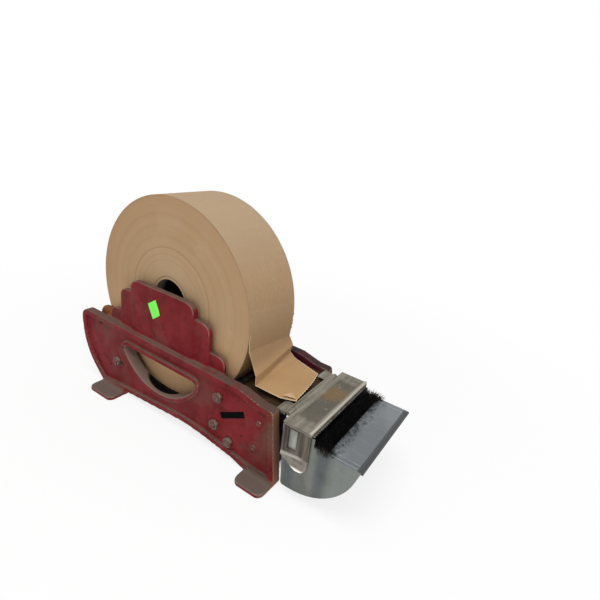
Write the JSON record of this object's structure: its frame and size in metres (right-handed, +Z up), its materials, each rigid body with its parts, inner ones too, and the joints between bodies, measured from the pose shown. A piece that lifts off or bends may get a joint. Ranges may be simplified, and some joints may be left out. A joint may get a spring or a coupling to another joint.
{
  "type": "gummed tape dispenser",
  "caption": "Counter dispenser for gummed paper tape: red cast side frames with stepped crests, a tape roll on rollers, a hinged cover with a tear-off edge, and a water tank with a brush.",
  "frame": {"origin": "on the counter, under the middle of the dispenser's bounding box", "axes": "+X across the machine, to the right for a person who faces its front; -Y out of the front, where the tape comes out over the water tank; +Z up from the counter"},
  "size_m": [0.157, 0.3916, 0.2508],
  "materials": {
    "frame_paint": "red enamel, worn and dusty",
    "black_sheet": "black paint, dull",
    "steel": "plain steel, dull",
    "dull_nickel": "nickel plate, stained with glue",
    "zinc": "sheet zinc with water streaks",
    "kraft": "brown kraft paper",
    "card": "grey-brown card",
    "rusty_disc": "orange-brown enamel",
    "brush_wood": "wet dark wood",
    "bristle": "black bristle"
  },
  "bodies": {
    "chassis": {"left_frame": "frame_paint", "right_frame": "frame_paint", "deck_plate": "black_sheet", "tape_side_guides": "steel", "feed_plate": "dull_nickel", "cross_plate": "black_sheet", "frame_screws": "steel", "screw_nuts": "steel", "rod_nuts": "steel", "rear_shaft": "steel", "front_shaft": "steel", "guide_rod": "steel", "tie_rod_mid": "steel", "tie_rod_low": "steel", "hinge_wire": "steel", "tape_end": "kraft"},
    "roll": {"tape_roll": "kraft", "roll_core": "card"},
    "rear_roller": {"rear_roller": "steel"},
    "front_roller": {"front_roller": "steel"},
    "side_guide": {"guide_sleeve": "rusty_disc", "guide_disc_left": "rusty_disc", "guide_disc_right": "rusty_disc"},
    "cover": {"cover_plate": "dull_nickel", "cover_cheek_left": "dull_nickel", "cover_cheek_right": "dull_nickel", "tear_blade": "steel", "blade_studs": "steel"},
    "tank": {"water_tank": "zinc", "apron_plate": "zinc", "tank_tongues": "zinc", "brush_rests": "zinc"},
    "brush": {"brush_block": "brush_wood", "brush_bristles": "bristle"}
  },
  "joints": [
    {"name": "roll_spin", "type": "hinge", "parent": "chassis", "child": "roll", "pos_m": [0, 0.06007, 0.13883], "axis": [1, 0, 0], "continuous": true},
    {"name": "rear_roller_spin", "type": "hinge", "parent": "chassis", "child": "rear_roller", "pos_m": [0, 0.1292, 0.0416], "axis": [1, 0, 0], "continuous": true},
    {"name": "front_roller_spin", "type": "hinge", "parent": "chassis", "child": "front_roller", "pos_m": [0, -0.0332, 0.0677], "axis": [1, 0, 0], "continuous": true},
    {"name": "guide_spin", "type": "hinge", "parent": "chassis", "child": "side_guide", "pos_m": [0, 0.16273, 0.08146], "axis": [1, 0, 0], "continuous": true},
    {"name": "cover_lift", "type": "hinge", "parent": "chassis", "child": "cover", "pos_m": [0, -0.1108, 0.08205], "axis": [-1, 0, 0], "range_deg": [0, 95]},
    {"name": "tank_slide", "type": "slide", "parent": "chassis", "child": "tank", "axis": [0, -1, 0], "range_m": [0, 0.08]},
    {"name": "brush_lift", "type": "slide", "parent": "tank", "child": "brush", "axis": [0, 0, 1], "range_m": [0, 0.07]}
  ],
  "couplings": [
    {"joint": "rear_roller_spin", "follows": "roll_spin", "ratio": -16},
    {"joint": "front_roller_spin", "follows": "roll_spin", "ratio": -22.4}
  ]
}
